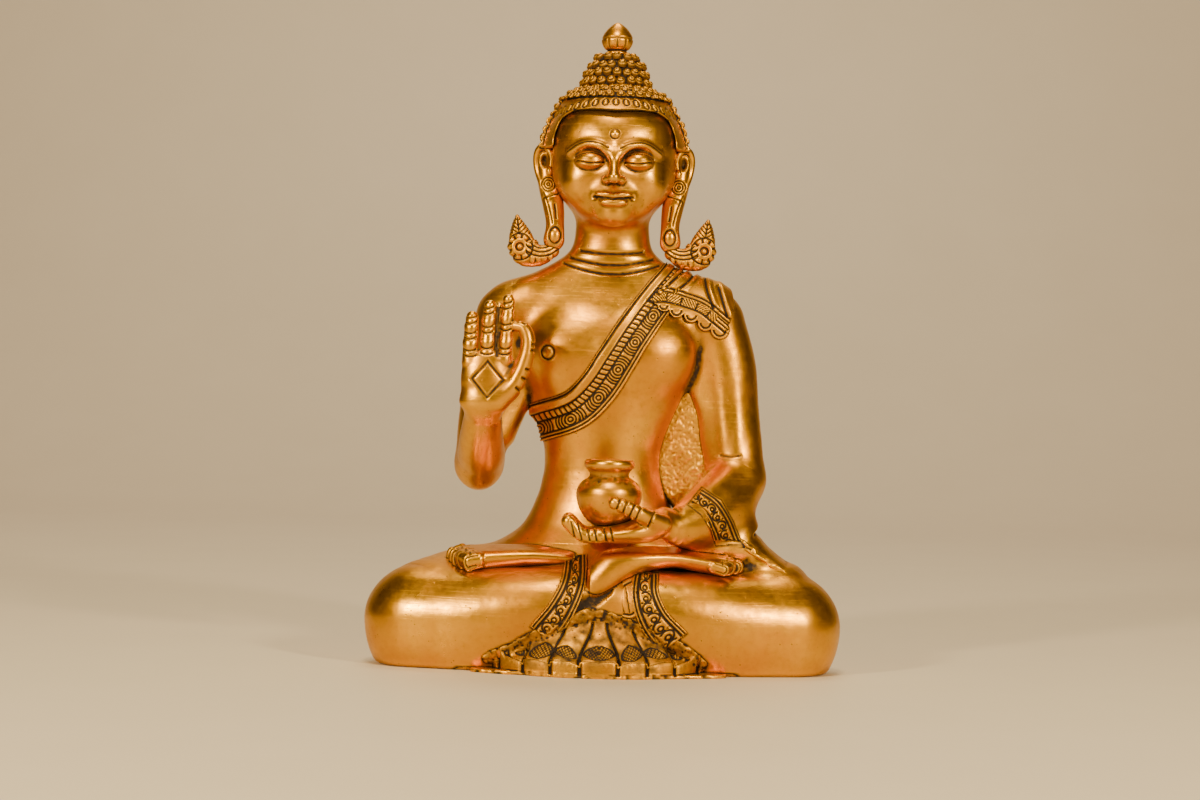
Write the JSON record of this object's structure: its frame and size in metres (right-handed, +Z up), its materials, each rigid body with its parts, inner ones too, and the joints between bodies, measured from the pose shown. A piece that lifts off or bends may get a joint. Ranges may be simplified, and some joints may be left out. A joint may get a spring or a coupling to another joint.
{
  "type": "seated buddha statue",
  "caption": "Seated cross-legged brass figure in a draped robe, right hand raised palm out, left hand holding an alms bowl, hair in rows of curls under a jewel.",
  "frame": {"origin": "middle of the base, on the surface the statue stands on", "axes": "+X to the viewer's right, +Y towards the statue's back, +Z up"},
  "size_m": [0.1804, 0.0947, 0.25],
  "materials": {
    "polished_brass": "hand-polished cast brass, fine scratches and small casting pits, dark patina in the engraved lines",
    "chased_brass": "chased relief, bright on the high points and black-brown in the recesses",
    "rough_brass": "as-cast, pitted and unpolished",
    "plate_brass": "plain rolled sheet, dull"
  },
  "bodies": {
    "root": {"lap_casting": "polished_brass", "base_plate": "plate_brass", "torso_casting": "polished_brass", "right_upper_arm": "polished_brass", "right_forearm": "polished_brass", "right_hand": "polished_brass", "left_upper_arm": "polished_brass", "left_forearm": "polished_brass", "left_hand": "polished_brass", "alms_bowl": "polished_brass", "head_casting": "polished_brass", "hair_cap": "chased_brass", "topknot": "chased_brass", "finial_jewel": "polished_brass", "right_ear": "polished_brass", "left_ear": "polished_brass", "right_ear_spray": "chased_brass", "left_ear_spray": "chased_brass", "chest_sash": "chased_brass", "shoulder_pleats": "chased_brass", "sleeve_cuff": "chased_brass", "sleeve_drape": "chased_brass", "side_web": "rough_brass", "left_foot": "polished_brass", "right_foot": "polished_brass", "right_hem_band": "chased_brass", "left_hem_band": "chased_brass", "hem_fan": "chased_brass"}
  },
  "joints": []
}
